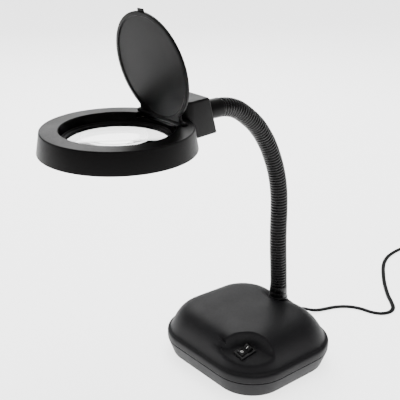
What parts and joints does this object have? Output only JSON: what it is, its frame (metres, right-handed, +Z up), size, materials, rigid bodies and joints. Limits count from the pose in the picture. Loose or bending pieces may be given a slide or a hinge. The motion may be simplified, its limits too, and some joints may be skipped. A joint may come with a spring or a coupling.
{
  "type": "magnifying lamp",
  "caption": "Desk magnifying lamp: weighted base with a rocker switch, flexible gooseneck, LED ring head with a round lens under a hinged lid, and a mains cord.",
  "frame": {"origin": "centre of the base pad's underside, on the surface that the lamp stands on", "axes": "+Z up, -Y towards the user, where the head reaches, +X to the user's right"},
  "size_m": [0.17, 0.7107, 0.412],
  "materials": {
    "matte_black_shell": "fine moulded texture, matt black",
    "satin_black_head": "satin black moulding",
    "neck_enamel": "glossy black enamel on a wound steel tube",
    "switch_nylon": "smooth black nylon",
    "pad_foam": "closed-cell foam",
    "ballast_iron": "raw casting",
    "zinc_steel": "zinc plated",
    "brass_contacts": "bare brass",
    "driver_laminate": "green glass-epoxy laminate",
    "led_laminate": "white laminate with LED chips",
    "transformer_ferrite": "ferrite core with tape",
    "capacitor_sleeve": "shrink sleeve",
    "terminal_nylon": "white nylon",
    "lens_glass": "polished clear lens",
    "opal_diffuser": "opal acrylic",
    "cord_pvc": "soft black PVC",
    "tie_strap": "woven hook-and-loop strap"
  },
  "bodies": {
    "base": {"base_pad": "pad_foam", "base_bottom_cover": "matte_black_shell", "base_top_cover": "matte_black_shell", "base_screw_1": "zinc_steel", "base_screw_2": "zinc_steel", "base_screw_3": "zinc_steel", "base_screw_4": "zinc_steel", "ballast_weight": "ballast_iron", "ballast_screw_1": "zinc_steel", "ballast_screw_2": "zinc_steel", "led_driver_board": "driver_laminate", "driver_transformer": "transformer_ferrite", "driver_capacitor": "capacitor_sleeve", "mains_terminal_block": "terminal_nylon", "rocker_switch_body": "switch_nylon", "switch_terminal_1": "brass_contacts", "switch_terminal_2": "brass_contacts", "neck_foot": "neck_enamel", "neck_lock_nut": "zinc_steel", "gooseneck_1": "neck_enamel", "cord_strain_relief": "cord_pvc", "power_cord": "cord_pvc", "cord_coil": "cord_pvc", "coil_tie": "tie_strap", "plug_body": "cord_pvc", "plug_pin_1": "brass_contacts", "plug_pin_2": "brass_contacts"},
    "rocker": {"rocker_switch_rocker": "switch_nylon"},
    "neck_2": {"gooseneck_2": "neck_enamel"},
    "neck_3": {"gooseneck_3": "neck_enamel"},
    "neck_4": {"gooseneck_4": "neck_enamel"},
    "neck_5": {"gooseneck_5": "neck_enamel"},
    "neck_6": {"gooseneck_6": "neck_enamel"},
    "neck_7": {"gooseneck_7": "neck_enamel"},
    "head": {"gooseneck_8": "neck_enamel", "neck_head_sleeve": "neck_enamel", "head_block": "satin_black_head", "head_ring": "satin_black_head", "head_screw_1": "zinc_steel", "head_screw_2": "zinc_steel", "magnifier_lens": "lens_glass", "lens_retaining_ring": "satin_black_head", "led_board": "led_laminate", "led_board_screw_1": "zinc_steel", "led_board_screw_2": "zinc_steel", "led_board_screw_3": "zinc_steel", "led_diffuser": "opal_diffuser", "lid_hinge_pin": "zinc_steel"},
    "lid": {"lid": "satin_black_head"}
  },
  "joints": [
    {"name": "neck_bend_1", "type": "hinge", "parent": "base", "child": "neck_2", "pos_m": [0, 0.04712, 0.10744], "axis": [1, 0, 0], "range_deg": [-15, 15]},
    {"name": "neck_sway_1", "type": "hinge", "parent": "neck_2", "child": "neck_3", "pos_m": [0, 0.04529, 0.14191], "axis": [0, -0.9995, -0.0303], "range_deg": [-18, 18]},
    {"name": "neck_bend_2", "type": "hinge", "parent": "neck_3", "child": "neck_4", "pos_m": [0, 0.04478, 0.17641], "axis": [-1, 0, 0], "range_deg": [-18, 18]},
    {"name": "neck_bend_3", "type": "hinge", "parent": "neck_4", "child": "neck_5", "pos_m": [0, 0.04028, 0.21007], "axis": [1, 0, 0], "range_deg": [-18, 18]},
    {"name": "neck_bend_4", "type": "hinge", "parent": "neck_5", "child": "neck_6", "pos_m": [0, 0.02877, 0.24202], "axis": [-1, 0, 0], "range_deg": [-18, 18]},
    {"name": "neck_sway_2", "type": "hinge", "parent": "neck_6", "child": "neck_7", "pos_m": [0, 0.01072, 0.27134], "axis": [0, -0.7805, -0.6252], "range_deg": [-18, 18]},
    {"name": "neck_bend_5", "type": "hinge", "parent": "neck_7", "child": "head", "pos_m": [0, -0.01467, 0.29456], "axis": [1, 0, 0], "range_deg": [-18, 18]},
    {"name": "lid_hinge", "type": "hinge", "parent": "head", "child": "lid", "pos_m": [0, -0.1182, 0.3084], "axis": [1, 0, 0], "range_deg": [-20, 78]},
    {"name": "rocker_pivot", "type": "hinge", "parent": "base", "child": "rocker", "pos_m": [0.0484, -0.0482, 0.0443], "axis": [0.985, 0, -0.1724], "range_deg": [-16, 0]}
  ]
}
